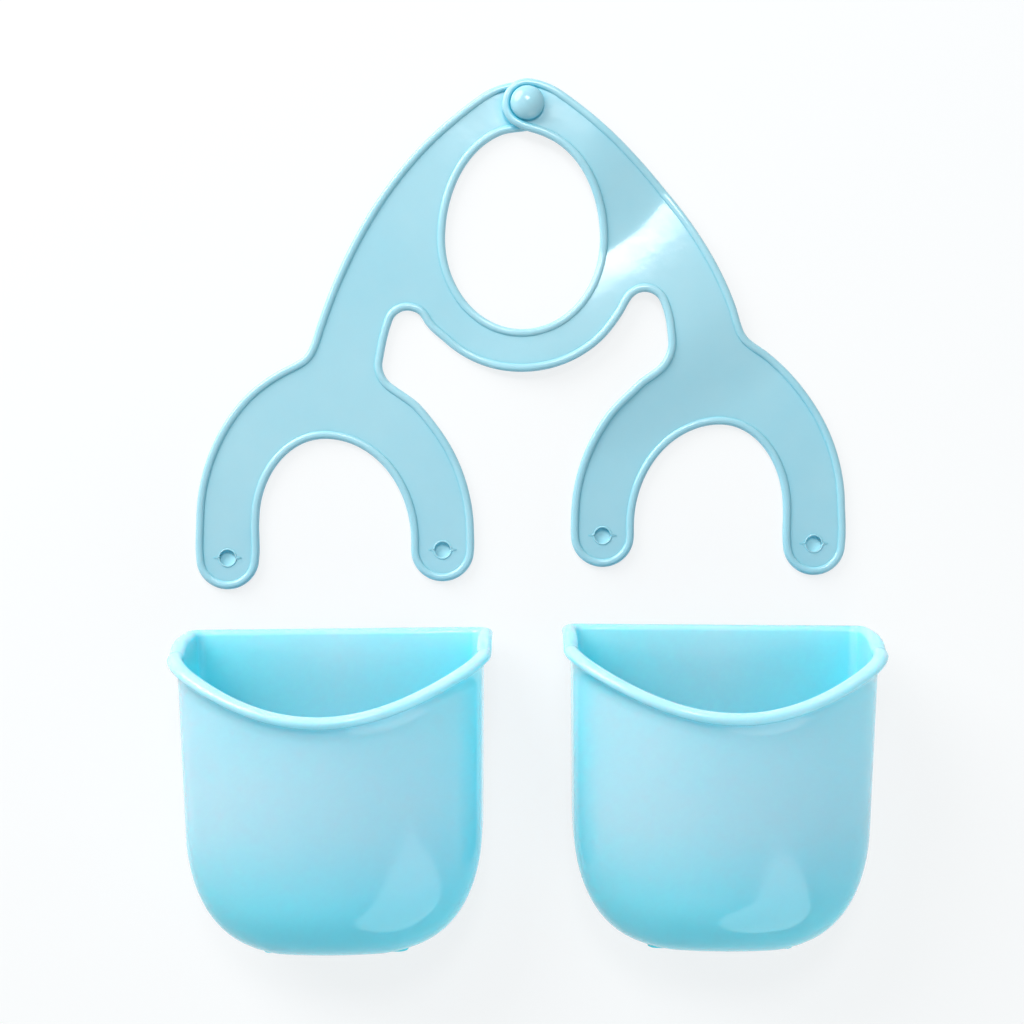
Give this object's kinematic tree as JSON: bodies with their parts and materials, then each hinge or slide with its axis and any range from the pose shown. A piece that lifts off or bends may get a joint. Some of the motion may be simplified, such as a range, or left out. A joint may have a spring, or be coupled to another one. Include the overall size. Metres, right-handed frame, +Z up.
{
  "type": "hanging sink basket",
  "caption": "Soft plastic yoke whose snap-closed ring hangs round a tap, with forked legs that carry half-round cups for sponges by studs pressed through their tips.",
  "frame": {"origin": "on the strap's back face, at the middle of the band that closes the ring at the bottom", "axes": "+X to the right and +Y towards the ring and its snap, as the set lies on a table seen from above; +Z up from the table"},
  "size_m": [0.2363, 0.2975, 0.0629],
  "materials": {
    "soft_plastic": "soft, flexible pale-blue plastic, satin to glossy, slightly milky",
    "hard_plastic": "stiff pale-blue plastic, polished and slightly translucent"
  },
  "bodies": {
    "strap": {"strap": "soft_plastic", "snap_button": "soft_plastic"},
    "snap_tab": {"snap_tab": "soft_plastic"},
    "left_cup": {"left_cup": "hard_plastic", "left_cup_stud_left": "hard_plastic", "left_cup_stud_right": "hard_plastic"},
    "right_cup": {"right_cup": "hard_plastic", "right_cup_stud_left": "hard_plastic", "right_cup_stud_right": "hard_plastic"}
  },
  "joints": [
    {"name": "snap_tab_lift", "type": "hinge", "parent": "strap", "child": "snap_tab", "pos_m": [0.02501, 0.06662, 0.0061], "axis": [0.7431, 0.6691, 0], "range_deg": [0, 90], "stiffness_Nm_per_rad": 0.004},
    {"name": "left_cup_to_fork", "type": "slide", "parent": "strap", "child": "left_cup", "axis": [-0.0452, 0.9917, 0.1205], "range_m": [0, 0.04979]},
    {"name": "right_cup_to_fork", "type": "slide", "parent": "strap", "child": "right_cup", "axis": [-0.0334, 0.9931, 0.1123], "range_m": [0, 0.05345]}
  ]
}
